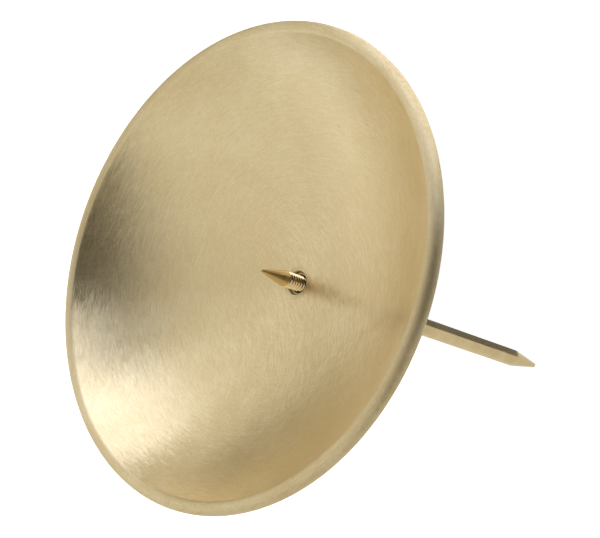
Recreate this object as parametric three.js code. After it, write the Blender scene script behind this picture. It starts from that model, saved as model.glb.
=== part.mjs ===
// Pricket candle plate, the insert that tops an altar candlestick: a spun brass drip plate that lies
// loose on a washer and a hexagon nut, on a turned pin with a cone spike for the candle.
//
// Millimetres, +Z up. The origin is on the pin's axis at its shoulder, where the pin enters the
// candlestick's socket. The cone spike points up, along +Z, and the long shank hangs down, along -Z.
import * as THREE from 'three';
import { mergeVertices } from 'three/addons/utils/BufferGeometryUtils.js';

// Drip plate
const plateDiameter = 140;
const plateDepth = 25;          // from the rim's widest circle down to the floor
const sheetThickness = 1.0;
const holeClearance = 0.97;     // between the plate's hole and the thread, on the radius
const holeChamfer = 0.3;
const floorWidth = 4.65;        // flat ring around the hole, where the candle stands
const rimBeadRadius = 2.2;      // outside of the rolled rim
const rimCurlUnder = 40;        // degrees the roll turns past straight down

// Spike pin
const threadDiameter = 4.76;
const threadPitch = 1.058;
const threadStandUp = 5.75;     // thread showing above the plate's floor
const threadRunOut = 0.8;       // relief groove above the shoulder
const coneLength = 9.7;
const coneTipDiameter = 0.9;
const shoulderStep = 0.37;      // by which the shank is thicker than the thread, on the radius
const shankLength = 103.3;      // from the shoulder to where the point starts
const pointLength = 13;
const pointTipDiameter = 1.5;
const tipRounding = 0.3;

// Nut and washer under the plate
const nutWall = 2.37;           // from the thread to a flat
const nutThickness = 4;
const nutCountersink = 0.35;
const nutChamfer = 0.2;
const washerLap = 3.65;         // by which the washer reaches past the plate's hole
const washerThickness = 1.2;
const washerEdge = 0.15;
const washerClearance = 0.3;    // between the washer's bore and the thread, on the radius
const threadClearance = 0.15;   // between the nut's thread and the pin's, on the radius
const seatGap = 0.05;           // between faces that bear on each other

// Fineness of the facets
const plateSegments = 60;
const bowlSteps = 12;
const beadSteps = 8;
const roundSegments = 24;       // a multiple of 12, so that the nut has a column on every corner
const washerSegments = 36;

// Heights, from the shoulder up
const nutBottom = seatGap;
const nutTop = nutBottom + nutThickness;
const washerBottom = nutTop + seatGap;
const washerTop = washerBottom + washerThickness;
const plateUnderside = washerTop + seatGap;
const plateFloor = plateUnderside + sheetThickness;
const threadTop = plateFloor + threadStandUp;

// Radii, from the thread outwards
const threadDepth = 0.614 * threadPitch;
const threadRadius = threadDiameter / 2;
const threadRootRadius = threadRadius - threadDepth;
const shankRadius = threadRadius + shoulderStep;
const nutFlatRadius = threadRadius + nutWall;
const holeRadius = threadRadius + holeClearance;
const floorRadius = holeRadius + floorWidth;
const washerRadius = holeRadius + washerLap;

const brushedBrass = { color: 0xc8b285, roughness: 0.38, metalness: 1 };
const turnedBrass = { color: 0xb9a06c, roughness: 0.3, metalness: 1 };

/**
 * Solid turned about Z whose outline may change with the angle. columns[i] is the outline at the angle
 * i / (columns.length - 1) of a turn, as [radius, height] points: from bottom to top along the outside
 * when it starts and ends on the axis, or once round when it closes on itself: outwards underneath,
 * back inwards on top, then down the bore.
 */
function turnedSolid(columns) {
  const turns = columns.length - 1;
  const count = columns[0].length;
  const onAxis = columns[0][0][0] === 0;
  const positions = [];
  columns.forEach((outline, i) => {
    const angle = (2 * Math.PI * (i % turns)) / turns;
    for (const [radius, height] of outline) {
      positions.push(radius * Math.cos(angle), radius * Math.sin(angle), height);
    }
  });
  const indices = [];
  const spans = onAxis ? count - 1 : count;
  for (let i = 0; i < turns; i += 1) {
    for (let k = 0; k < spans; k += 1) {
      const a = i * count + k;
      const b = i * count + ((k + 1) % count);
      indices.push(a, a + count, b + count, a, b + count, b);
    }
  }
  const geometry = new THREE.BufferGeometry();
  geometry.setAttribute('position', new THREE.Float32BufferAttribute(positions, 3));
  geometry.setIndex(indices);
  return withoutSlivers(mergeVertices(geometry, 1e-5));
}

/** Drops the triangles that have lost an edge because two of their corners were merged. */
function withoutSlivers(geometry) {
  const index = geometry.index.array;
  const kept = [];
  for (let i = 0; i < index.length; i += 3) {
    const [a, b, c] = [index[i], index[i + 1], index[i + 2]];
    if (a !== b && b !== c && c !== a) {
      kept.push(a, b, c);
    }
  }
  geometry.setIndex(kept);
  geometry.computeVertexNormals();
  return geometry;
}

/**
 * Right-hand thread on one column of the outline, from low to high. The rows follow the helix, so
 * that each ridge is a true vee with a narrow flat, and the thread fades into plain ends. Every thread
 * counts its turns from the top of the pin's relief groove, so the nut's ridges lie in the pin's grooves.
 */
function threadColumn({ low, high, rootRadius, crestRadius, lowRadius, highRadius, angle }) {
  const ridge = [
    [0.0, rootRadius],
    [0.4, crestRadius],
    [0.525, crestRadius],
    [0.925, rootRadius],
  ];
  const firstTurn = Math.floor((low - threadRunOut) / threadPitch) - 1;
  const lastTurn = Math.ceil((high - threadRunOut) / threadPitch);
  const fade = threadPitch / 2;
  const points = [[lowRadius, low]];
  for (let turn = firstTurn; turn <= lastTurn; turn += 1) {
    for (const [share, ridgeRadius] of ridge) {
      const height = threadRunOut + threadPitch * (turn + share + angle / (2 * Math.PI));
      if (height <= low) {
        points.push([lowRadius, low]);
      } else if (height >= high) {
        points.push([highRadius, high]);
      } else {
        const rise = Math.min(1, (height - low) / fade);
        const fall = Math.min(1, (high - height) / fade);
        const plain = rise < fall ? lowRadius : highRadius;
        points.push([plain + (ridgeRadius - plain) * Math.min(rise, fall), height]);
      }
    }
  }
  points.push([highRadius, high]);
  return points;
}

/** Calls outlineAt(angle) for each column of a full turn, the first one twice. */
function columnsAround(segments, outlineAt) {
  return Array.from({ length: segments + 1 }, (unused, i) => outlineAt((2 * Math.PI * i) / segments));
}

/** Points on an arc about (centreR, centreZ), with angles in degrees from the outward radius. */
function arc(centreR, centreZ, radius, fromDegrees, toDegrees, steps) {
  return Array.from({ length: steps + 1 }, (unused, i) => {
    const angle = THREE.MathUtils.degToRad(fromDegrees + ((toDegrees - fromDegrees) * i) / steps);
    return [centreR + radius * Math.cos(angle), centreZ + radius * Math.sin(angle)];
  });
}

/**
 * The plate's section is one path of even sheet: flat floor, bowl arc, then the rim's roll. The bowl
 * arc leaves the floor level and meets the roll without a kink, which sets its radius.
 */
function dripPlate() {
  const half = sheetThickness / 2;
  const beadPathRadius = rimBeadRadius - half;
  const beadR = plateDiameter / 2 - rimBeadRadius;
  const beadZ = plateFloor + plateDepth;
  const pathZ = plateFloor - half;
  const across = beadR - floorRadius;
  const rise = beadZ - pathZ + beadPathRadius;
  const reach = (across * across + rise * rise) / (2 * rise);
  const bowlRadius = reach - beadPathRadius;
  const slope = THREE.MathUtils.radToDeg(Math.asin(across / reach));
  const bowlZ = pathZ + bowlRadius;

  const top = [
    [holeRadius + holeChamfer, plateFloor],
    ...arc(floorRadius, bowlZ, bowlRadius - half, -90, slope - 90, bowlSteps),
    ...arc(beadR, beadZ, rimBeadRadius, slope + 90, -rimCurlUnder, beadSteps).slice(1),
  ];
  const under = [
    [holeRadius + holeChamfer, plateUnderside],
    ...arc(floorRadius, bowlZ, bowlRadius + half, -90, slope - 90, bowlSteps),
    ...arc(beadR, beadZ, rimBeadRadius - sheetThickness, slope + 90, -rimCurlUnder, beadSteps).slice(1),
  ];
  const bore = [
    [holeRadius, plateFloor - holeChamfer],
    [holeRadius, plateUnderside + holeChamfer],
  ];
  const outline = [...under, ...top.reverse(), ...bore];
  return turnedSolid(columnsAround(plateSegments, () => outline));
}

/** Point, shank, relief groove, thread and cone spike, all turned on one rod. */
function spikePin() {
  const pointEnd = -shankLength - pointLength;
  const shoulderChamfer = (shankRadius - threadRootRadius) / 2;
  const coneTip = threadTop + coneLength;
  return turnedSolid(columnsAround(roundSegments, (angle) => [
    [0, pointEnd],
    [pointTipDiameter / 2 - tipRounding, pointEnd],
    [pointTipDiameter / 2, pointEnd + tipRounding],
    [shankRadius, -shankLength],
    [shankRadius, -shoulderChamfer],
    [shankRadius - shoulderChamfer, 0],
    [threadRootRadius, 0],
    ...threadColumn({
      low: threadRunOut,
      high: threadTop,
      rootRadius: threadRootRadius,
      crestRadius: threadRadius,
      lowRadius: threadRootRadius,
      highRadius: threadRadius,
      angle,
    }),
    [coneTipDiameter / 2, coneTip - tipRounding],
    [coneTipDiameter / 2 - tipRounding, coneTip],
    [0, coneTip],
  ]));
}

/** Hexagon nut with chamfered corners, threaded to run on the pin. */
function seatNut() {
  const mouthRadius = threadRadius + threadClearance + nutCountersink;
  const rootRadius = threadRadius + threadClearance;
  const crestRadius = threadRootRadius + threadClearance;
  const cornerSlope = Math.tan(Math.PI / 6);
  const nutFaceRadius = nutFlatRadius - nutChamfer / cornerSlope;
  return turnedSolid(columnsAround(roundSegments, (angle) => {
    const fromFlat = ((angle + Math.PI / 6) % (Math.PI / 3)) - Math.PI / 6;
    const hexRadius = nutFlatRadius / Math.cos(fromFlat);
    const chamfer = nutChamfer + (hexRadius - nutFlatRadius) * cornerSlope;
    const bore = threadColumn({
      low: nutBottom + nutCountersink,
      high: nutTop - nutCountersink,
      rootRadius: crestRadius,
      crestRadius: rootRadius,
      lowRadius: rootRadius,
      highRadius: rootRadius,
      angle,
    });
    return [
      [mouthRadius, nutBottom],
      [nutFaceRadius, nutBottom],
      [hexRadius, nutBottom + chamfer],
      [hexRadius, nutTop - chamfer],
      [nutFaceRadius, nutTop],
      [mouthRadius, nutTop],
      ...bore.reverse(),
    ];
  }));
}

/** Flat washer with softened edges, wide enough to bridge the plate's hole. */
function seatWasher() {
  const bore = threadRadius + washerClearance;
  const outline = [
    [bore, washerBottom],
    [washerRadius - washerEdge, washerBottom],
    [washerRadius, washerBottom + washerEdge],
    [washerRadius, washerTop - washerEdge],
    [washerRadius - washerEdge, washerTop],
    [bore, washerTop],
  ];
  return turnedSolid(columnsAround(washerSegments, () => outline));
}

function piece(name, geometry, finish) {
  const mesh = new THREE.Mesh(geometry, new THREE.MeshStandardMaterial(finish));
  mesh.name = name;
  return mesh;
}

const group = new THREE.Group();
group.add(piece('drip_plate', dripPlate(), brushedBrass));
group.add(piece('spike_pin', spikePin(), turnedBrass));
group.add(piece('seat_nut', seatNut(), turnedBrass));
group.add(piece('seat_washer', seatWasher(), turnedBrass));

export default group;
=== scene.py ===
"""Pricket candle plate of scratch-brushed brass, the insert that tops an altar candlestick.

The pieces are turned surfaces worked out with numpy: an outline carried round the pin's axis, which is
the Z axis. All sizes are in metres and angles in radians.
"""
import math

import bpy
import numpy as np
from bpy.props import FloatProperty, FloatVectorProperty, IntProperty, PointerProperty
from mathutils import Matrix, Vector


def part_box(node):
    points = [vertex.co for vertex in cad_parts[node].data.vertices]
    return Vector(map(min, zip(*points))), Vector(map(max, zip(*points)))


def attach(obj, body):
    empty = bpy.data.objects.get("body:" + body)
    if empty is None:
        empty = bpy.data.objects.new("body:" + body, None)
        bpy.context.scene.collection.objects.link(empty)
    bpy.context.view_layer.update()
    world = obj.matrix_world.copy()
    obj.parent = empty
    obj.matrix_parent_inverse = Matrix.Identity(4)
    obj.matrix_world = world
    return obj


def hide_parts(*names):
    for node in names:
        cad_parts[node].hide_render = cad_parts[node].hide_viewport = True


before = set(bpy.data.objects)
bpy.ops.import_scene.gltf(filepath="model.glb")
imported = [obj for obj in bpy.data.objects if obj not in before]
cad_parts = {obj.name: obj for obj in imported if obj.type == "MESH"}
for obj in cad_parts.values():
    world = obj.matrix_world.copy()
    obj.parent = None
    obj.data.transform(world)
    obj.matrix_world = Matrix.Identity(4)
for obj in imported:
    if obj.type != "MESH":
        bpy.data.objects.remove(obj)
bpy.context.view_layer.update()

bl_info = {
    "name": "Pricket Candle Plate",
    "version": (1, 0, 0),
    "blender": (4, 5, 0),
    "location": "3D View > Sidebar > Candle Plate",
    "description": "Builds a brushed brass candle plate with its spike pin, nut and washer",
    "category": "Add Mesh",
}

PLATE_LOW, PLATE_HIGH = (Vector(corner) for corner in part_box("drip_plate"))
PIN_LOW, PIN_HIGH = (Vector(corner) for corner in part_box("spike_pin"))
NUT_LOW, NUT_HIGH = (Vector(corner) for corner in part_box("seat_nut"))
WASHER_LOW, WASHER_HIGH = (Vector(corner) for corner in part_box("seat_washer"))

MM = 0.001
TURN = 2 * math.pi
SHARP_ANGLE = math.radians(32)
FILM_WIDTH = 36.0
FLOOR_WIDTH = 12.0
BLACK = 0.01
DARK_GREY = 0.2
# Dark brown painted as shade inside the pin's hole and on the tool rings round it.
HOLE_SHADE_COLOUR = (0.22, 0.15, 0.07)

# Small dents in the plate: degrees round the axis, then distance from it, height and radius in mm.
NICKS = ((-5.3, 45.5, 16.1, 0.35), (157, 27.8, 8.9, 0.4), (171.5, 52.4, 20.4, 0.35))


# ---------------------------------------------------------------- sizes and finishes


class PlateSizes(bpy.types.PropertyGroup):
    """Drip plate"""

    radius: FloatProperty(
        name="Radius", description="Outside of the rolled rim", unit="LENGTH",
        default=PLATE_HIGH.x,
    )
    sheet: FloatProperty(
        name="Sheet", description="Thickness of the brass sheet", unit="LENGTH", default=1.0 * MM
    )
    rim_bead: FloatProperty(
        name="Rim bead", description="Outer radius of the rolled rim", unit="LENGTH",
        default=2.2 * MM,
    )
    rim_curl: FloatProperty(
        name="Rim curl", description="How far the roll turns past straight down",
        subtype="ANGLE", default=math.radians(40),
    )
    hole_radius: FloatProperty(
        name="Hole radius", description="Clearance hole for the pin", unit="LENGTH",
        default=3.35 * MM,
    )
    hole_chamfer: FloatProperty(
        name="Hole chamfer", description="Bevel on both edges of the hole", unit="LENGTH",
        default=0.3 * MM,
    )
    floor_radius: FloatProperty(
        name="Floor radius", description="Flat centre where the candle stands", unit="LENGTH",
        default=8.0 * MM,
    )
    waviness: FloatProperty(
        name="Waviness", description="Height of the shallow waves left by hand finishing",
        unit="LENGTH", default=0.012 * MM,
    )
    columns: IntProperty(
        name="Columns", description="Facets round the plate", default=256, min=24
    )


class PinSizes(bpy.types.PropertyGroup):
    """Spike pin and the thread that the nut runs on"""

    thread_radius: FloatProperty(
        name="Thread radius", description="Crest of the thread", unit="LENGTH", default=2.38 * MM
    )
    thread_pitch: FloatProperty(
        name="Thread pitch", description="Height of one turn", unit="LENGTH", default=1.058 * MM
    )
    thread_depth: FloatProperty(
        name="Thread depth", description="From crest to root", unit="LENGTH", default=0.65 * MM
    )
    thread_start: FloatProperty(
        name="Thread start", description="Height of the relief groove above the shoulder",
        unit="LENGTH", default=0.8 * MM,
    )
    thread_clearance: FloatProperty(
        name="Thread clearance", description="Radial play between nut and pin", unit="LENGTH",
        default=0.15 * MM,
    )
    cone_length: FloatProperty(
        name="Cone length", description="Candle spike above the thread", unit="LENGTH",
        default=9.7 * MM,
    )
    cone_tip_radius: FloatProperty(
        name="Cone tip radius", description="Rounded end of the spike", unit="LENGTH",
        default=0.45 * MM,
    )
    point_length: FloatProperty(
        name="Point length", description="Tapered lower end", unit="LENGTH", default=13.0 * MM
    )
    point_tip_radius: FloatProperty(
        name="Point tip radius", description="Blunt lower end", unit="LENGTH", default=0.75 * MM
    )
    columns: IntProperty(name="Columns", description="Facets round the pin", default=96, min=24)


class NutSizes(bpy.types.PropertyGroup):
    """Seat nut"""

    chamfer: FloatProperty(
        name="Chamfer", description="Bevel where a flat meets the nut's faces", unit="LENGTH",
        default=0.2 * MM,
    )
    countersink: FloatProperty(
        name="Countersink", description="Bevel at the mouth of the thread", unit="LENGTH",
        default=0.35 * MM,
    )
    corner_radius: FloatProperty(
        name="Corner radius", description="Rounding on the six corners", unit="LENGTH",
        default=0.25 * MM,
    )
    columns: IntProperty(name="Columns", description="Facets round the nut", default=192, min=24)


class WasherSizes(bpy.types.PropertyGroup):
    """Seat washer"""

    bore_radius: FloatProperty(
        name="Bore radius", description="Hole that clears the thread", unit="LENGTH",
        default=2.68 * MM,
    )
    edge_radius: FloatProperty(
        name="Edge radius", description="Rounding left by stamping and tumbling", unit="LENGTH",
        default=0.18 * MM,
    )
    columns: IntProperty(
        name="Columns", description="Facets round the washer", default=128, min=24
    )


class Finishes(bpy.types.PropertyGroup):
    """Colours and brush marks"""

    brushed_colour: FloatVectorProperty(
        name="Brushed brass", description="Light tone of the brushed sheet", subtype="COLOR",
        default=(0.905, 0.785, 0.545),
    )
    # Besides the dulling, this tone is the painted shade in the nicks.
    brushed_shade: FloatVectorProperty(
        name="Brushed shade", description="Warm tone where the sheet has dulled",
        subtype="COLOR", default=(0.80, 0.66, 0.41),
    )
    turned_colour: FloatVectorProperty(
        name="Turned brass", description="Light tone of the turned rod", subtype="COLOR",
        default=(0.88, 0.72, 0.44),
    )
    # Besides the dulling, this brown is mixed over the pin's cone as painted shade.
    turned_shade: FloatVectorProperty(
        name="Turned shade", description="Brown tone of handled rod", subtype="COLOR",
        default=(0.66, 0.50, 0.26),
    )
    nut_colour: FloatVectorProperty(
        name="Nut brass", description="Light tone of the nut", subtype="COLOR",
        default=(0.80, 0.64, 0.36),
    )
    # The washer's brass is set dark as painted shade, for where it shows in the gap between the pin
    # and the plate's hole.
    washer_shaded_colour: FloatVectorProperty(
        name="Washer brass", description="Light tone of the washer", subtype="COLOR",
        default=(0.50, 0.38, 0.20),
    )
    mark_width: FloatProperty(
        name="Mark width", description="Width of the brush marks that show", unit="LENGTH",
        default=0.36 * MM,
    )


class StageSettings(bpy.types.PropertyGroup):
    """Camera, lights and floor"""

    lens: FloatProperty(name="Lens", description="Focal length in millimetres", default=100.0)
    elevation: FloatProperty(
        name="Elevation", description="Camera above the level of the rim", subtype="ANGLE",
        default=math.radians(45.93),
    )
    roll: FloatProperty(
        name="Roll", description="Clockwise roll of the camera", subtype="ANGLE",
        default=math.radians(70.3),
    )
    distance: FloatProperty(
        name="Distance", description="Camera to the plane it is aimed at", unit="LENGTH",
        default=0.4601,
    )
    aim_right: FloatProperty(
        name="Aim right", description="Aim to the right of the rim's centre", unit="LENGTH",
        default=0.01725,
    )
    aim_down: FloatProperty(
        name="Aim down", description="Aim below the rim's centre", unit="LENGTH",
        default=0.0019,
    )
    fill_colour: FloatVectorProperty(
        name="Fill", description="Colour of the soft light from above and all round",
        subtype="COLOR", default=(0.744, 0.711, 0.608),
    )
    horizon_colour: FloatVectorProperty(
        name="Horizon", description="Colour of the unlit room, level with the plate",
        subtype="COLOR", default=(0.12, 0.095, 0.055),
    )
    softbox_colour: FloatVectorProperty(
        name="Key softbox", description="Colour of the large softbox", subtype="COLOR",
        default=(0.76, 0.82, 1.0),
    )
    softbox_power: FloatProperty(
        name="Key power", description="Power of the large softbox in watts", default=3.35
    )
    back_colour: FloatVectorProperty(
        name="Back softbox", description="Colour of the softbox behind the plate",
        subtype="COLOR", default=(0.78, 0.89, 1.0),
    )
    back_power: FloatProperty(
        name="Back power", description="Power of the softbox behind the plate in watts",
        default=0.75,
    )
    low_power: FloatProperty(
        name="Low power", description="Power of the softbox near the floor in watts", default=1.15
    )
    floor_drop: FloatProperty(
        name="Floor drop", description="Floor below the pin's point", unit="LENGTH",
        default=0.25,
    )


class CandlePlateSettings(bpy.types.PropertyGroup):
    """Everything that the pieces are built from"""

    plate: PointerProperty(type=PlateSizes)
    pin: PointerProperty(type=PinSizes)
    nut: PointerProperty(type=NutSizes)
    washer: PointerProperty(type=WasherSizes)
    finish: PointerProperty(type=Finishes)
    stage: PointerProperty(type=StageSettings)


# ---------------------------------------------------------------- turned surfaces


def turned_object(name, radius, height, closed):
    """Object whose surface is an outline turned round Z.

    radius and height have a row for each point of the outline and a column for each angle, so
    point = (radius cos angle, radius sin angle, height). The outline runs outwards underneath, up the
    outside and inwards on top. A closed one joins its last row to its first, and an open one ends in
    a vertex on the axis at each end.
    """
    rows, columns = radius.shape
    angle = np.linspace(0, TURN, columns, endpoint=False)
    points = np.stack([radius * np.cos(angle), radius * np.sin(angle), height], axis=-1)
    index = np.arange(rows * columns).reshape(rows, columns)
    following = np.roll(index, -1, axis=0)
    if not closed:
        index, following = index[:-1], following[:-1]
    quads = np.stack(
        [index, np.roll(index, -1, axis=1), np.roll(following, -1, axis=1), following], axis=-1
    )
    vertices = points.reshape(-1, 3)
    faces = quads.reshape(-1, 4).tolist()
    if not closed:
        poles = np.array([[0, 0, height[0].mean()], [0, 0, height[-1].mean()]])
        first, last = np.arange(columns), np.arange(columns) + (rows - 1) * columns
        bottom, top = len(vertices), len(vertices) + 1
        vertices = np.vstack([vertices, poles])
        faces += np.stack([np.full(columns, bottom), np.roll(first, -1), first], axis=-1).tolist()
        faces += np.stack([last, np.roll(last, -1), np.full(columns, top)], axis=-1).tolist()
    mesh = bpy.data.meshes.new(name)
    mesh.from_pydata(vertices.tolist(), [], faces)
    mesh.polygons.foreach_set("use_smooth", np.ones(len(mesh.polygons), dtype=bool))
    mesh.set_sharp_from_angle(angle=SHARP_ANGLE)
    mesh.update()
    piece = bpy.data.objects.new(name, mesh)
    bpy.context.scene.collection.objects.link(piece)
    return piece


def arc(centre_r, centre_z, radius, start, stop, count):
    """Points on an arc, as rows of [radius, height], from angle start to stop about its centre."""
    angle = np.linspace(start, stop, count)
    return np.stack([centre_r + radius * np.cos(angle), centre_z + radius * np.sin(angle)], axis=-1)


def straight(start, stop, count):
    """Points, or single values, evenly from start up to stop, which is left out."""
    return np.linspace(start, stop, count, endpoint=False)


def all_round(outline, columns):
    """The same outline at every angle, as a radius array and a height array."""
    ones = np.ones(columns)
    return outline[:, :1] * ones, outline[:, 1:] * ones


def thread_radius(height, angle, low, high, crest, root, end, sizes):
    """Radius of a right-hand thread at each height and angle.

    The share of a turn is (height - thread start) / pitch - angle / turn. Over it the radius climbs
    from root to crest, stays there for an eighth, falls back and stays on the root for the rest. It
    blends into the plain end radius within half a pitch of low and high.
    """
    flank, land = 0.4, 0.125
    share = np.mod((height - sizes.thread_start) / sizes.thread_pitch - angle / TURN, 1)
    corners = [0, flank, flank + land, 2 * flank + land, 1]
    ridge = np.interp(share, corners, [0, 1, 1, 0, 0])
    near_end = np.minimum(height - low, high - height) / (sizes.thread_pitch / 2)
    blend = np.clip(near_end, 0, 1)
    return end + (root + (crest - root) * ridge - end) * blend


def drip_plate_outline(sizes):
    """Section of the plate: one path of even sheet, given by its points and their upward normals.

    The path is a flat floor, a bowl arc that leaves the floor level, and the rim's roll, which the
    bowl arc meets without a kink. If A is the level distance from the floor's edge to the roll's
    centre and H the rise from the floor's path to the top of the roll's path, the bowl arc's radius
    and the roll's radius add up to (A squared + H squared) / 2H.
    """
    floor_points, bowl_points, roll_points = 9, 84, 34
    half = sizes.sheet / 2
    roll = sizes.rim_bead - half
    roll_r = sizes.radius - sizes.rim_bead
    roll_z = PLATE_HIGH.z - sizes.rim_bead
    path_z = PLATE_LOW.z + half
    across = roll_r - sizes.floor_radius
    rise = roll_z + roll - path_z
    reach = (across**2 + rise**2) / (2 * rise)
    slope = math.asin(across / reach)
    bowl = reach - roll

    hole_edge = sizes.hole_radius + sizes.hole_chamfer
    floor_r = straight(hole_edge, sizes.floor_radius, floor_points)
    floor = np.stack([floor_r, np.full_like(floor_r, path_z)], axis=-1)
    bowl_heading = np.linspace(0, slope, bowl_points)
    bowl_path = arc(
        sizes.floor_radius, path_z + bowl, bowl, -TURN / 4, slope - TURN / 4, bowl_points
    )
    roll_heading = np.linspace(slope, -TURN / 4 - sizes.rim_curl, roll_points)[1:]
    roll_path = np.stack(
        [roll_r - roll * np.sin(roll_heading), roll_z + roll * np.cos(roll_heading)], axis=-1
    )
    heading = np.concatenate([np.zeros(len(floor)), bowl_heading, roll_heading])
    path = np.vstack([floor, bowl_path, roll_path])
    normal = np.stack([-np.sin(heading), np.cos(heading)], axis=-1)
    return path, normal, heading


def hand_waves(radius, angle, height):
    """Shallow waves: three products of waves round the plate and waves along its radius."""
    waves = 0
    for strength, count, turned, length, shifted in (
        (1.0, 3, 0.7, 6.1 * MM, 0.0), (0.7, 5, 2.1, 4.3 * MM, 1.3), (0.5, 8, 4.0, 2.9 * MM, 0.4),
    ):
        waves += strength * np.sin(count * angle + turned) * np.sin(radius / length + shifted)
    return height * waves


def build_drip_plate(sizes):
    """Plate: the path pushed half a sheet both ways along its normals, with a rounded hem."""
    path, normal, heading = drip_plate_outline(sizes)
    half = sizes.sheet / 2
    hem_heading = heading[-1] + np.linspace(-TURN / 4, TURN / 4, 9)[1:-1]
    hem = path[-1] + half * np.stack([np.cos(hem_heading), np.sin(hem_heading)], axis=-1)
    bore_half = half - sizes.hole_chamfer
    bore_z = path[0, 1] + np.array([bore_half, -bore_half])
    bore = np.stack([np.full(2, sizes.hole_radius), bore_z], axis=-1)
    outline = np.vstack([path - half * normal, hem, (path + half * normal)[::-1], bore])
    push = np.vstack([normal, np.repeat(normal[-1:], len(hem), axis=0), normal[::-1],
                      np.repeat(normal[:1], 2, axis=0)])
    radius, height = all_round(outline, sizes.columns)
    angle = np.linspace(0, TURN, sizes.columns, endpoint=False)
    waves = hand_waves(radius, angle, sizes.waviness)
    waves *= np.clip((radius - sizes.floor_radius) / sizes.floor_radius, 0, 1)
    return turned_object(
        "brushed_drip_plate", radius + waves * push[:, :1], height + waves * push[:, 1:], closed=True
    )


def build_spike_pin(sizes):
    """Pin: blunt point, shank, shoulder, relief groove, thread and cone on one outline.

    The thread's rows are level rings whose radius comes from thread_radius, and the cone is a
    straight taper that ends in a ball of the tip's radius.
    """
    angle = np.linspace(0, TURN, sizes.columns, endpoint=False)
    shank_r = PIN_HIGH.x
    root = sizes.thread_radius - sizes.thread_depth
    step = (shank_r - root) / 2
    round_tip = 0.3 * MM
    just_short = 0.02 * TURN
    rows_per_turn = 20
    thread_top = PIN_HIGH.z - sizes.cone_length
    point_top = PIN_LOW.z + sizes.point_length
    below = np.vstack([
        arc(sizes.point_tip_radius - round_tip, PIN_LOW.z + round_tip, round_tip,
            -TURN / 4, -just_short, 6),
        straight([sizes.point_tip_radius, PIN_LOW.z + round_tip], [shank_r, point_top], 24)[1:],
        straight([shank_r, point_top], [shank_r, -step], 60),
        [[shank_r, -step], [shank_r - step, 0], [root, 0]],
    ])
    thread_rows = round((thread_top - sizes.thread_start) / sizes.thread_pitch * rows_per_turn)
    thread_z = np.linspace(sizes.thread_start, thread_top, thread_rows)
    halfway = (sizes.thread_start + thread_top) / 2
    plain_end = np.where(thread_z < halfway, root, sizes.thread_radius)
    thread_r = thread_radius(
        thread_z[:, None], angle, sizes.thread_start, thread_top,
        sizes.thread_radius, root, plain_end[:, None], sizes,
    )
    tip = sizes.cone_tip_radius
    above = np.vstack([
        straight([sizes.thread_radius, thread_top], [tip, PIN_HIGH.z - tip], 30)[1:],
        arc(0, PIN_HIGH.z - tip, tip, 0, 0.96 * TURN / 4, 8),
    ])
    below_r, below_h = all_round(below, sizes.columns)
    above_r, above_h = all_round(above, sizes.columns)
    thread_h = thread_z[:, None] * np.ones(sizes.columns)
    radius = np.vstack([below_r, thread_r, above_r])
    height = np.vstack([below_h, thread_h, above_h])
    return turned_object("turned_spike_pin", radius, height, closed=False)


def hexagon_radius(angle, flat, corner_radius):
    """Distance from the centre to a hexagon's side: flat / cos(angle from the middle of the side).

    A circle a share of the corner radius inside the corners holds them back, slightly rounded.
    """
    corner_share = 0.35
    from_middle = np.mod(angle + TURN / 12, TURN / 6) - TURN / 12
    corner = flat / math.cos(TURN / 12)
    return np.minimum(flat / np.cos(from_middle), corner - corner_radius * corner_share)


def build_seat_nut(sizes, pin):
    """Nut: closed outline whose outer radius is the hexagon's and whose bore radius is the thread's.

    A cone of 30 degrees cuts the corners on both faces, so the sides are shorter at the corners.
    """
    columns = sizes.columns
    bore_rows, side_rows = 66, 7
    angle = np.linspace(0, TURN, columns, endpoint=False)
    flat = NUT_HIGH.x
    bottom, top = NUT_LOW.z, NUT_HIGH.z
    outer = hexagon_radius(angle, flat, sizes.corner_radius)
    slope = math.tan(TURN / 12)
    face = np.full(columns, flat - sizes.chamfer / slope)
    drop = sizes.chamfer + (outer - flat) * slope
    crest = pin.thread_radius - pin.thread_depth + pin.thread_clearance
    root = pin.thread_radius + pin.thread_clearance
    low, high = bottom + sizes.countersink, top - sizes.countersink
    bore_z = np.linspace(high, low, bore_rows)
    bore_r = thread_radius(bore_z[:, None], angle, low, high, root, crest, root, pin)
    mouth = np.full(columns, root + sizes.countersink)
    level = np.ones(columns)
    side = np.linspace(0, 1, side_rows)[:, None]
    radius = np.vstack([
        mouth, face, np.repeat(outer[None], len(side), axis=0), face, mouth, bore_r
    ])
    height = np.vstack([
        bottom * level, bottom * level,
        (bottom + drop) + (top - bottom - 2 * drop) * side,
        top * level, top * level, bore_z[:, None] * level,
    ])
    return turned_object("machined_seat_nut", radius, height, closed=True)


def build_seat_washer(sizes):
    """Washer: a flat ring whose four edges are quarter rounds."""
    edge = sizes.edge_radius
    outer, bottom, top = WASHER_HIGH.x, WASHER_LOW.z, WASHER_HIGH.z
    bore = sizes.bore_radius
    corners = [
        (outer - edge, bottom + edge, -TURN / 4),
        (outer - edge, top - edge, 0),
        (bore + edge, top - edge, TURN / 4),
        (bore + edge, bottom + edge, TURN / 2),
    ]
    arc_points = 6
    outline = np.vstack([
        arc(r, z, edge, start, start + TURN / 4, arc_points) for r, z, start in corners
    ])
    radius, height = all_round(outline, sizes.columns)
    return turned_object("stamped_seat_washer", radius, height, closed=True)


# ---------------------------------------------------------------- shader node groups


def new_group(name, inputs, outputs):
    """Empty shader node group with float or vector sockets, given as (name, type, default)."""
    group = bpy.data.node_groups.new(name, "ShaderNodeTree")
    for label, kind, default in inputs:
        socket = group.interface.new_socket(label, in_out="INPUT", socket_type=kind)
        if default is not None:
            socket.default_value = default
    for label, kind in outputs:
        group.interface.new_socket(label, in_out="OUTPUT", socket_type=kind)
    return group, group.nodes.new("NodeGroupInput"), group.nodes.new("NodeGroupOutput")


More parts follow.
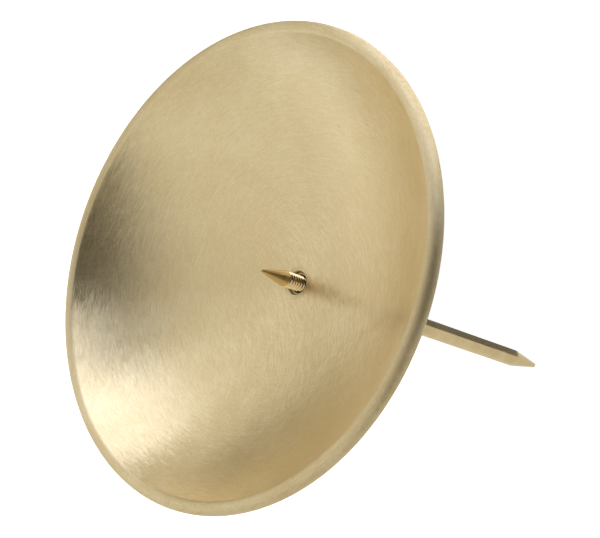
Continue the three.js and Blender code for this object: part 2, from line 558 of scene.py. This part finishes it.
class Wiring:
    """Short calls for adding nodes to one tree and joining them."""

    def __init__(self, tree):
        self.tree = tree

    def node(self, kind, **settings):
        made = self.tree.nodes.new(kind)
        for key, value in settings.items():
            setattr(made, key, value)
        return made

    def join(self, value, socket):
        if isinstance(value, bpy.types.NodeSocket):
            self.tree.links.new(value, socket)
        else:
            socket.default_value = value

    def math(self, operation, *values):
        made = self.node("ShaderNodeMath", operation=operation)
        for value, socket in zip(values, made.inputs):
            self.join(value, socket)
        return made.outputs[0]

    def vector_math(self, operation, *values):
        made = self.node("ShaderNodeVectorMath", operation=operation)
        for value, socket in zip(values, made.inputs):
            self.join(value, socket)
        return made.outputs["Value" if operation in ("LENGTH", "DISTANCE") else "Vector"]

    def scaled(self, vector, factor):
        made = self.node("ShaderNodeVectorMath", operation="SCALE")
        self.join(vector, made.inputs[0])
        self.join(factor, made.inputs["Scale"])
        return made.outputs["Vector"]

    def part_of(self, vector, axis):
        apart = self.node("ShaderNodeSeparateXYZ")
        self.join(vector, apart.inputs[0])
        return apart.outputs[axis]

    def along_z(self, value):
        placed = self.node("ShaderNodeCombineXYZ")
        self.join(value, placed.inputs["Z"])
        return placed.outputs[0]

    def noise(self, vector, scale, detail=2.0, roughness=0.5):
        made = self.node("ShaderNodeTexNoise")
        self.join(vector, made.inputs["Vector"])
        self.join(scale, made.inputs["Scale"])
        made.inputs["Detail"].default_value = detail
        made.inputs["Roughness"].default_value = roughness
        return made.outputs["Fac"]

    def remap(self, value, low, high, to_low=0.0, to_high=1.0):
        made = self.node("ShaderNodeMapRange", interpolation_type="SMOOTHSTEP")
        for source, label in zip(
            (value, low, high, to_low, to_high),
            ("Value", "From Min", "From Max", "To Min", "To Max"),
        ):
            self.join(source, made.inputs[label])
        return made.outputs["Result"]

    def mix_colour(self, share, first, second):
        made = self.node("ShaderNodeMix", data_type="RGBA")
        self.join(share, made.inputs["Factor"])
        for value, socket in ((first, made.inputs[6]), (second, made.inputs[7])):
            self.join((*value, 1.0) if isinstance(value, (tuple, list)) else value, socket)
        return made.outputs[2]

    def group(self, group, **values):
        made = self.node("ShaderNodeGroup")
        made.node_tree = group
        for label, value in values.items():
            self.join(value, made.inputs[label.replace("_", " ")])
        return made.outputs


def ring_marks_group():
    """Marks that run round Z, as brushing on a lathe leaves them.

    The noise is read at (cos angle, sin angle) times Reach and at the distance along the outline over
    Width, so a mark is Width wide and about radius / Reach long, and there is no seam.
    """
    group, source, target = new_group(
        "ring_marks",
        [("Vector", "NodeSocketVector", None), ("Width", "NodeSocketFloat", 0.0004),
         ("Reach", "NodeSocketFloat", 6.0), ("Seed", "NodeSocketFloat", 0.0)],
        [("Marks", "NodeSocketFloat")],
    )
    wire = Wiring(group)
    vector = source.outputs["Vector"]
    flat = wire.vector_math("MULTIPLY", vector, (1, 1, 0))
    distance = wire.vector_math("LENGTH", flat)
    along = wire.math("MULTIPLY_ADD", wire.part_of(vector, "Z"), 0.8, distance)
    along = wire.math("DIVIDE", along, source.outputs["Width"])
    around = wire.scaled(wire.vector_math("NORMALIZE", flat), source.outputs["Reach"])
    placed = wire.along_z(wire.math("ADD", along, source.outputs["Seed"]))
    spot = wire.vector_math("ADD", around, placed)
    wire.join(wire.noise(spot, 1.0, detail=2.0, roughness=0.6), target.inputs["Marks"])
    return group


def brush_strokes_group():
    """Short strokes that run round Z and lean the surface each way, as hand brushing does.

    One coloured noise is read at (x, y) over Length and at the distance from the axis over Width, so
    a stroke is Width wide and about Length long at any radius, and Wander bends its path off the
    circle. Its red leans the normal along the stroke and its green leans it across. Its blue is Tone.
    """
    group, source, target = new_group(
        "brush_strokes",
        [("Vector", "NodeSocketVector", None), ("Width", "NodeSocketFloat", 0.0004),
         ("Length", "NodeSocketFloat", 0.003), ("Wander", "NodeSocketFloat", 0.001),
         ("Lean Along", "NodeSocketFloat", 0.2), ("Lean Across", "NodeSocketFloat", 0.2)],
        [("Lean", "NodeSocketVector"), ("Tone", "NodeSocketFloat")],
    )
    wire = Wiring(group)
    vector = source.outputs["Vector"]
    flat = wire.vector_math("MULTIPLY", vector, (1, 1, 0))
    wander = wire.math("SUBTRACT", wire.noise(vector, 110.0, detail=1.0), 0.5)
    across = wire.math(
        "MULTIPLY_ADD", wander, source.outputs["Wander"], wire.vector_math("LENGTH", flat)
    )
    across = wire.math("MULTIPLY_ADD", wire.part_of(vector, "Z"), 0.6, across)
    across = wire.math("DIVIDE", across, source.outputs["Width"])
    spot = wire.scaled(flat, wire.math("DIVIDE", 1.0, source.outputs["Length"]))
    noise = wire.node("ShaderNodeTexNoise")
    wire.join(wire.vector_math("ADD", spot, wire.along_z(across)), noise.inputs["Vector"])
    noise.inputs["Scale"].default_value = 1.0
    noise.inputs["Detail"].default_value = 3.0
    noise.inputs["Roughness"].default_value = 0.78
    shares = wire.node("ShaderNodeSeparateColor")
    wire.join(noise.outputs["Color"], shares.inputs[0])
    normal = wire.node("ShaderNodeNewGeometry").outputs["Normal"]
    round_z = wire.vector_math("NORMALIZE", wire.vector_math("CROSS_PRODUCT", (0, 0, 1), flat))
    outwards = wire.vector_math("CROSS_PRODUCT", normal, round_z)
    leans = []
    for share, amount, axis in (
        ("Red", "Lean Along", round_z), ("Green", "Lean Across", outwards),
    ):
        centred = wire.math("SUBTRACT", shares.outputs[share], 0.5)
        leans.append(wire.scaled(axis, wire.math("MULTIPLY", centred, source.outputs[amount])))
    wire.join(wire.vector_math("ADD", *leans), target.inputs["Lean"])
    wire.join(shares.outputs["Blue"], target.inputs["Tone"])
    return group


def dull_patches_group():
    """Where brass has dulled: broad cloudy noise, sharpened by Contrast."""
    group, source, target = new_group(
        "dull_patches",
        [("Vector", "NodeSocketVector", None), ("Scale", "NodeSocketFloat", 30.0),
         ("Contrast", "NodeSocketFloat", 0.2)],
        [("Dull", "NodeSocketFloat")],
    )
    wire = Wiring(group)
    clouds = wire.noise(
        source.outputs["Vector"], source.outputs["Scale"], detail=4.0, roughness=0.6
    )
    low = wire.math("SUBTRACT", 0.5, source.outputs["Contrast"])
    high = wire.math("ADD", 0.5, source.outputs["Contrast"])
    wire.join(wire.remap(clouds, low, high), target.inputs["Dull"])
    return group


def nick_group():
    """A small dent: 1 at Centre, falling smoothly to 0 at Radius from it."""
    group, source, target = new_group(
        "nick",
        [("Vector", "NodeSocketVector", None), ("Centre", "NodeSocketVector", None),
         ("Radius", "NodeSocketFloat", 0.0003)],
        [("Dent", "NodeSocketFloat")],
    )
    wire = Wiring(group)
    distance = wire.vector_math("DISTANCE", source.outputs["Vector"], source.outputs["Centre"])
    wire.join(wire.remap(distance, 0.0, source.outputs["Radius"], 1.0, 0.0), target.inputs["Dent"])
    return group


def shared_group(name, make):
    """The node group of that name, made the first time that it is asked for."""
    return bpy.data.node_groups.get(name) or make()


# ---------------------------------------------------------------- finishes


def new_metal(name):
    """Material with one metallic Principled shader, returned with its wiring and its shader."""
    material = bpy.data.materials.new(name)
    material.use_nodes = True
    shader = material.node_tree.nodes["Principled BSDF"]
    shader.inputs["Metallic"].default_value = 1.0
    wire = Wiring(material.node_tree)
    return material, wire, shader


def add_bump(wire, shader, height, distance, normal=None):
    """Feeds a height, in units of distance, to the shader's normal, on top of another normal if one
    is given."""
    bump = wire.node("ShaderNodeBump")
    bump.inputs["Distance"].default_value = distance
    wire.join(height, bump.inputs["Height"])
    if normal is not None:
        wire.join(normal, bump.inputs["Normal"])
    wire.join(bump.outputs["Normal"], shader.inputs["Normal"])


def add_nicks(wire, place):
    """Sum of the small dents in the plate, for its height and for the painted shade in them."""
    nick = shared_group("nick", nick_group)
    dents = 0.0
    for turn, away, height, radius in NICKS:
        angle = math.radians(turn)
        centre = (away * MM * math.cos(angle), away * MM * math.sin(angle), height * MM)
        dent = wire.group(nick, Vector=place, Centre=centre, Radius=radius * MM)["Dent"]
        dents = wire.math("ADD", dents, dent)
    return dents


def brushed_brass(finish, sizes):
    """Sheet brushed by hand.

    One set of strokes runs round the plate's axis and the other, strongest near worn_centre, round an
    axis off the plate. Both lean the normal. Tool rings by the hole, nicks, dulling and a fine grain
    lie over them. Painted shade darkens the wall of the hole, the tool rings and the nicks.
    """
    worn_centre = (-6 * MM, -14 * MM, 8 * MM)
    second_axis = (-70 * MM, 60 * MM, 0.0)
    ring_spacing = 0.5 * MM
    material, wire, shader = new_metal("brushed_brass")
    place = wire.node("ShaderNodeTexCoord").outputs["Object"]
    strokes = shared_group("brush_strokes", brush_strokes_group)
    dull = shared_group("dull_patches", dull_patches_group)

    from_axis = wire.vector_math("LENGTH", wire.vector_math("MULTIPLY", place, (1, 1, 0)))
    on_bowl = wire.remap(from_axis, 65.0 * MM, 67.5 * MM, 1.0, 0.2)
    main = wire.group(strokes, Vector=place, Width=finish.mark_width, Length=4.0 * MM,
                      Wander=2.0 * MM, Lean_Along=wire.math("MULTIPLY", on_bowl, 0.30),
                      Lean_Across=wire.math("MULTIPLY", on_bowl, 0.22))
    worn = wire.remap(
        wire.vector_math("DISTANCE", place, worn_centre), 12 * MM, 52 * MM, 1.0, 0.15
    )
    aside = wire.vector_math("SUBTRACT", place, second_axis)
    crossing = wire.group(strokes, Vector=aside, Width=finish.mark_width * 1.2, Length=4.5 * MM,
                          Wander=5.0 * MM, Lean_Along=wire.math("MULTIPLY", worn, 0.36),
                          Lean_Across=wire.math("MULTIPLY", worn, 0.34))
    normal = wire.node("ShaderNodeNewGeometry").outputs["Normal"]
    leaning = wire.vector_math("ADD", normal, main["Lean"])
    leaning = wire.vector_math("NORMALIZE", wire.vector_math("ADD", leaning, crossing["Lean"]))

    hole = sizes.hole_radius
    near_hole = wire.remap(from_axis, hole * 1.3, hole * 1.6, 1.0, 0.0)
    hole_shade = wire.remap(from_axis, hole, hole * 1.06, 0.8, 0.0)
    wave = wire.math("SINE", wire.math("MULTIPLY", from_axis, TURN / ring_spacing))
    tool = wire.math("MULTIPLY", wire.math("MULTIPLY", wave, near_hole), 0.4)
    dents = add_nicks(wire, place)
    height = wire.math("MULTIPLY_ADD", dents, -1.2, tool)
    add_bump(wire, shader, height, distance=0.08 * MM, normal=leaning)

    dulling = wire.group(dull, Vector=place, Scale=45.0, Contrast=0.16)["Dull"]
    shade = wire.remap(main["Tone"], 0.32, 0.68, 0.6, -0.1)
    scratched = wire.remap(crossing["Tone"], 0.32, 0.68, 1.0, -0.5)
    shade = wire.math("MULTIPLY_ADD", scratched, worn, shade)
    shade = wire.math("MULTIPLY_ADD", dulling, 0.5, shade)
    grain = wire.noise(place, 1500.0, detail=2.0)
    shade = wire.math("ADD", wire.remap(grain, 0.3, 0.7, 0.2, -0.2), shade)
    # Painted shade: the nicks are darkened to the full brushed shade.
    shade = wire.math("MAXIMUM", shade, dents)
    colour = wire.mix_colour(shade, tuple(finish.brushed_colour), tuple(finish.brushed_shade))
    # Painted shade: the tool rings and the wall of the hole are mixed towards a dark brown.
    ring_shade = wire.math("MULTIPLY", wire.remap(wave, 0.1, 1.0, 0.0, 0.5), near_hole)
    colour = wire.mix_colour(wire.math("MAXIMUM", ring_shade, hole_shade), colour, HOLE_SHADE_COLOUR)
    wire.join(colour, shader.inputs["Base Color"])
    rough = wire.remap(crossing["Tone"], 0.3, 0.7, 0.31, 0.37)
    on_roll = wire.remap(from_axis, 66.2 * MM, 67.2 * MM, 0.0, 0.2)
    wire.join(wire.math("ADD", rough, on_roll), shader.inputs["Roughness"])
    shader.inputs["Anisotropic"].default_value = 0.75
    shader.inputs["Anisotropic Rotation"].default_value = 0.25
    tangent = wire.node("ShaderNodeTangent", direction_type="RADIAL", axis="Z")
    wire.join(tangent.outputs[0], shader.inputs["Tangent"])
    return material


def turned_brass(finish):
    """Rod turned on a lathe: fine level rings, faint scratches along it and brown dulling in patches.
    Painted shade darkens the cone from its foot up."""
    unshaded_below, shaded_above = 11.8 * MM, 13.5 * MM
    material, wire, shader = new_metal("turned_brass")
    place = wire.node("ShaderNodeTexCoord").outputs["Object"]
    rings = shared_group("ring_marks", ring_marks_group)
    dull = shared_group("dull_patches", dull_patches_group)
    lathe = wire.group(rings, Vector=place, Width=0.09 * MM, Reach=0.7, Seed=2.0)["Marks"]
    long_marks = wire.noise(wire.vector_math("MULTIPLY", place, (1, 1, 0.06)), 2600.0, detail=1.0)
    dulling = wire.group(dull, Vector=place, Scale=160.0, Contrast=0.2)["Dull"]
    height = wire.math("MULTIPLY_ADD", long_marks, 0.9, lathe)
    add_bump(wire, shader, height, distance=0.008 * MM)
    # Painted shade: the cone is mixed towards the brown shade from its foot up.
    cone_shade = wire.remap(wire.part_of(place, "Z"), unshaded_below, shaded_above, 0.0, 0.65)
    shade = wire.math("MULTIPLY_ADD", dulling, 0.45, wire.remap(lathe, 0.4, 0.65, 0.25, 0.0))
    shade = wire.math("MAXIMUM", shade, cone_shade)
    colour = wire.mix_colour(shade, tuple(finish.turned_colour), tuple(finish.turned_shade))
    wire.join(colour, shader.inputs["Base Color"])
    wire.join(wire.remap(long_marks, 0.3, 0.7, 0.13, 0.20), shader.inputs["Roughness"])
    return material


def small_part_brass(name, light, finish, mark_width, rough):
    """Nut and washer: tool rings, tumbling speckle and dulled patches."""
    material, wire, shader = new_metal(name)
    place = wire.node("ShaderNodeTexCoord").outputs["Object"]
    rings = shared_group("ring_marks", ring_marks_group)
    dull = shared_group("dull_patches", dull_patches_group)
    marks = wire.group(rings, Vector=place, Width=mark_width, Reach=1.5, Seed=7.0)["Marks"]
    speckle = wire.noise(place, 5200.0, detail=2.0)
    dulling = wire.group(dull, Vector=place, Scale=420.0, Contrast=0.15)["Dull"]
    height = wire.math("MULTIPLY_ADD", speckle, 0.6, marks)
    add_bump(wire, shader, height, distance=0.01 * MM)
    shade = wire.math("MULTIPLY_ADD", dulling, 0.5, wire.remap(marks, 0.35, 0.65, 0.3, 0.0))
    colour = wire.mix_colour(shade, tuple(light), tuple(finish.turned_shade))
    wire.join(colour, shader.inputs["Base Color"])
    roughness = wire.remap(speckle, 0.3, 0.7, rough - 0.06, rough + 0.08)
    wire.join(roughness, shader.inputs["Roughness"])
    return material


# ---------------------------------------------------------------- stage


def camera_axes(stage):
    """Camera's right, up and back directions. Back points from the plate to the camera, over -Y at
    the elevation, and the roll turns right and up about it."""
    back = Vector((0, -math.cos(stage.elevation), math.sin(stage.elevation)))
    side = Vector((1, 0, 0))
    above = back.cross(side)
    right = side * math.cos(stage.roll) - above * math.sin(stage.roll)
    up = side * math.sin(stage.roll) + above * math.cos(stage.roll)
    return right, up, back


def rim_centre(sizes):
    """Centre of the rim's widest circle"""
    return Vector((0, 0, PLATE_HIGH.z - sizes.rim_bead))


def add_camera(stage, plate):
    right, up, back = camera_axes(stage)
    aim = rim_centre(plate) + right * stage.aim_right - up * stage.aim_down
    camera = bpy.data.cameras.new("camera")
    camera.sensor_width = FILM_WIDTH
    camera.lens = stage.lens
    camera.clip_start = 0.01
    holder = bpy.data.objects.new("camera", camera)
    turn = Matrix((right, up, back)).transposed().to_4x4()
    holder.matrix_world = Matrix.Translation(aim + back * stage.distance) @ turn
    bpy.context.scene.collection.objects.link(holder)
    bpy.context.scene.camera = holder


def direction(azimuth, elevation):
    """Unit vector: azimuth 0 is +X and 90 degrees is +Y, both in degrees."""
    turn, rise = math.radians(azimuth), math.radians(elevation)
    level = math.cos(rise)
    return Vector((level * math.cos(turn), level * math.sin(turn), math.sin(rise)))


def facing(towards, heading, distance, spin=0.0):
    """Matrix of something that looks along its -Z at a point, from a heading and a distance. Spin
    turns it about that line, in degrees."""
    place = towards + direction(*heading) * distance
    turn = (towards - place).to_track_quat("-Z", "Y").to_matrix().to_4x4()
    return Matrix.Translation(place) @ turn @ Matrix.Rotation(math.radians(spin), 4, "Z")


def add_softbox(name, matrix, size, power, colour):
    """Area light that lights the plate and isn't seen itself."""
    light = bpy.data.lights.new(name, "AREA")
    light.shape = "RECTANGLE"
    light.size, light.size_y = size
    light.energy = power
    light.color = colour
    holder = bpy.data.objects.new(name, light)
    holder.matrix_world = matrix
    holder.visible_camera = False
    bpy.context.scene.collection.objects.link(holder)


def stage_material(name, colour, roughness):
    """Plain material of the stage. Returns the material, its wiring and its shader."""
    material = bpy.data.materials.new(name)
    material.use_nodes = True
    shader = material.node_tree.nodes["Principled BSDF"]
    shader.inputs["Base Color"].default_value = (*colour, 1)
    shader.inputs["Roughness"].default_value = roughness
    return material, Wiring(material.node_tree), shader


def add_stage_mesh(name, vertices, faces, material):
    """Object of the stage, which is no part of the plate."""
    mesh = bpy.data.meshes.new(name)
    mesh.from_pydata(vertices, [], faces)
    mesh.update()
    item = bpy.data.objects.new(name, mesh)
    item.data.materials.append(material)
    bpy.context.scene.collection.objects.link(item)
    return item


def rectangle(width, depth):
    """Corners of a level rectangle about the origin."""
    x, y = width / 2, depth / 2
    return [Vector((-x, -y, 0)), Vector((x, -y, 0)), Vector((x, y, 0)), Vector((-x, y, 0))]


def add_card(name, vertices, faces, grey):
    """Card that the camera doesn't see and that only shows as a dark reflection in the brass."""
    material, _, _ = stage_material(name, (grey, grey, grey), 1.0)
    add_stage_mesh(name, vertices, faces, material).visible_camera = False


def add_flat_card(name, matrix, size):
    """Flat black card of a size that faces as its matrix says."""
    add_card(name, [matrix @ corner for corner in rectangle(*size)], [(0, 1, 2, 3)], BLACK)


def add_curved_card(name, radii, level, azimuths):
    """Dark grey card cut to part of a ring about the pin's axis, lying at a level."""
    steps = 24
    row = steps + 1
    angle = np.radians(np.linspace(*azimuths, row))
    edge = np.stack([np.cos(angle), np.sin(angle)], axis=-1)
    vertices = [(*point, level) for radius in radii for point in radius * edge]
    faces = [(i, i + row, i + row + 1, i + 1) for i in range(steps)]
    add_card(name, vertices, faces, DARK_GREY)


def add_floor(stage):
    """White light table: it glows for the camera, so no shadow shows on it, and is only pale in
    reflections. A camera under it looks through it."""
    reflected_glow = 0.15
    material, wire, shader = stage_material("pale_floor", (0.8, 0.79, 0.76), 0.9)
    shader.inputs["Emission Color"].default_value = (1, 1, 1, 1)
    seen = wire.node("ShaderNodeLightPath").outputs["Is Camera Ray"]
    glow = wire.math("MULTIPLY_ADD", seen, 1 - reflected_glow, reflected_glow)
    wire.join(glow, shader.inputs["Emission Strength"])
    under = wire.node("ShaderNodeNewGeometry").outputs["Backfacing"]
    mixed = wire.node("ShaderNodeMixShader")
    wire.join(wire.math("MULTIPLY", seen, under), mixed.inputs["Fac"])
    wire.join(shader.outputs[0], mixed.inputs[1])
    wire.join(wire.node("ShaderNodeBsdfTransparent").outputs[0], mixed.inputs[2])
    wire.join(mixed.outputs[0], material.node_tree.nodes["Material Output"].inputs["Surface"])
    drop = Vector((0, 0, PIN_LOW.z - stage.floor_drop))
    corners = [corner + drop for corner in rectangle(FLOOR_WIDTH, FLOOR_WIDTH)]
    add_stage_mesh("floor", corners, [(0, 1, 2, 3)], material)


def add_world(stage):
    """Even fill light from above, fading to a dark room at the horizon, and white where the camera
    sees it past the floor."""
    dark_below, lit_above = 0.12, 0.28
    world = bpy.data.worlds.new("studio")
    world.use_nodes = True
    wire = Wiring(world.node_tree)
    fill = world.node_tree.nodes["Background"]
    towards = wire.node("ShaderNodeTexCoord").outputs["Generated"]
    height = wire.remap(wire.part_of(towards, "Z"), dark_below, lit_above)
    colour = wire.mix_colour(height, tuple(stage.horizon_colour), tuple(stage.fill_colour))
    wire.join(colour, fill.inputs["Color"])
    seen = wire.node("ShaderNodeBackground")
    seen.inputs["Color"].default_value = (1, 1, 1, 1)
    mixed = wire.node("ShaderNodeMixShader")
    wire.join(wire.node("ShaderNodeLightPath").outputs["Is Camera Ray"], mixed.inputs["Fac"])
    wire.join(fill.outputs[0], mixed.inputs[1])
    wire.join(seen.outputs[0], mixed.inputs[2])
    wire.join(mixed.outputs[0], world.node_tree.nodes["World Output"].inputs["Surface"])
    bpy.context.scene.world = world


# ---------------------------------------------------------------- operators


def settings_of(context):
    return context.scene.candle_plate


def fit_out(piece, material, node, body):
    """Gives a piece its material and puts it in the place of its CAD node."""
    piece.data.materials.append(material)
    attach(piece, body)
    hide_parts(node)


class CANDLEPLATE_OT_drip_plate(bpy.types.Operator):
    """Build the brushed drip plate with its rolled rim"""

    bl_idname = "candleplate.drip_plate"
    bl_label = "Drip Plate"

    def execute(self, context):
        settings = settings_of(context)
        piece = build_drip_plate(settings.plate)
        material = brushed_brass(settings.finish, settings.plate)
        fit_out(piece, material, "drip_plate", "plate")
        return {"FINISHED"}


class CANDLEPLATE_OT_spike_pin(bpy.types.Operator):
    """Build the turned pin with its cone spike, thread and point"""

    bl_idname = "candleplate.spike_pin"
    bl_label = "Spike Pin"

    def execute(self, context):
        settings = settings_of(context)
        piece = build_spike_pin(settings.pin)
        fit_out(piece, turned_brass(settings.finish), "spike_pin", "pin")
        return {"FINISHED"}


class CANDLEPLATE_OT_seat_nut(bpy.types.Operator):
    """Build the hexagon nut under the plate"""

    bl_idname = "candleplate.seat_nut"
    bl_label = "Seat Nut"

    def execute(self, context):
        settings = settings_of(context)
        finish = settings.finish
        piece = build_seat_nut(settings.nut, settings.pin)
        material = small_part_brass("machined_brass", finish.nut_colour, finish, 0.12 * MM, 0.30)
        fit_out(piece, material, "seat_nut", "nut")
        return {"FINISHED"}


class CANDLEPLATE_OT_seat_washer(bpy.types.Operator):
    """Build the flat washer between the nut and the plate"""

    bl_idname = "candleplate.seat_washer"
    bl_label = "Seat Washer"

    def execute(self, context):
        settings = settings_of(context)
        finish = settings.finish
        piece = build_seat_washer(settings.washer)
        # The washer's dark colour is painted shade for the gap round the pin.
        material = small_part_brass("tumbled_brass", finish.washer_shaded_colour, finish, 0.3 * MM, 0.36)
        fit_out(piece, material, "seat_washer", "washer")
        return {"FINISHED"}


class CANDLEPLATE_OT_stage(bpy.types.Operator):
    """Build the camera, the soft light and the pale floor"""

    bl_idname = "candleplate.stage"
    bl_label = "Stage"

    def execute(self, context):
        settings = settings_of(context)
        stage = settings.stage
        centre = rim_centre(settings.plate)
        context.scene.view_settings.view_transform = "Standard"
        add_camera(stage, settings.plate)
        add_world(stage)
        add_floor(stage)
        add_softbox("key_softbox", facing(centre, (-1, 29), 0.9, -14), (1.30, 0.57),
                    stage.softbox_power, stage.softbox_colour)
        add_softbox("back_softbox", facing(centre, (122, 17), 0.9), (1.50, 0.45),
                    stage.back_power, stage.back_colour)
        add_softbox("low_softbox", facing(centre, (8, -24), 0.7), (0.95, 0.30),
                    stage.low_power, stage.fill_colour)
        add_flat_card("tall_card", facing(centre, (-70, 23), 0.65, 10), (0.56, 1.15))
        add_flat_card("wide_card", facing(centre, (-79, 51), 0.62, 28), (1.70, 0.35))
        add_flat_card("side_card", facing(centre, (73, 8), 0.62), (0.30, 0.27))
        add_curved_card("floor_card", (0.17, 0.42), PIN_LOW.z - stage.floor_drop + MM, (-52, 92))
        return {"FINISHED"}


class CANDLEPLATE_PT_sidebar(bpy.types.Panel):
    """Lists the pieces of the candle plate and their sizes"""

    bl_idname = "CANDLEPLATE_PT_sidebar"
    bl_label = "Candle Plate"
    bl_space_type = "VIEW_3D"
    bl_region_type = "UI"
    bl_category = "Candle Plate"

    def draw(self, context):
        settings = settings_of(context)
        for operator in OPERATORS:
            self.layout.operator(operator.bl_idname)
        for part in (settings.plate, settings.pin, settings.nut, settings.washer,
                     settings.finish, settings.stage):
            box = self.layout.box()
            for name in part.bl_rna.properties.keys():
                if name not in ("rna_type", "name"):
                    box.prop(part, name)


OPERATORS = (
    CANDLEPLATE_OT_stage,
    CANDLEPLATE_OT_drip_plate,
    CANDLEPLATE_OT_spike_pin,
    CANDLEPLATE_OT_seat_nut,
    CANDLEPLATE_OT_seat_washer,
)
SETTINGS = (
    PlateSizes, PinSizes, NutSizes, WasherSizes, Finishes, StageSettings, CandlePlateSettings,
)


def register():
    for kind in (*SETTINGS, *OPERATORS, CANDLEPLATE_PT_sidebar):
        bpy.utils.register_class(kind)
    bpy.types.Scene.candle_plate = PointerProperty(type=CandlePlateSettings)


def unregister():
    del bpy.types.Scene.candle_plate
    for kind in reversed((*SETTINGS, *OPERATORS, CANDLEPLATE_PT_sidebar)):
        bpy.utils.unregister_class(kind)


def main():
    register()
    bpy.ops.candleplate.stage()
    bpy.ops.candleplate.drip_plate()
    bpy.ops.candleplate.spike_pin()
    bpy.ops.candleplate.seat_nut()
    bpy.ops.candleplate.seat_washer()
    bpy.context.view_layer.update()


if __name__ == "__main__":
    main()
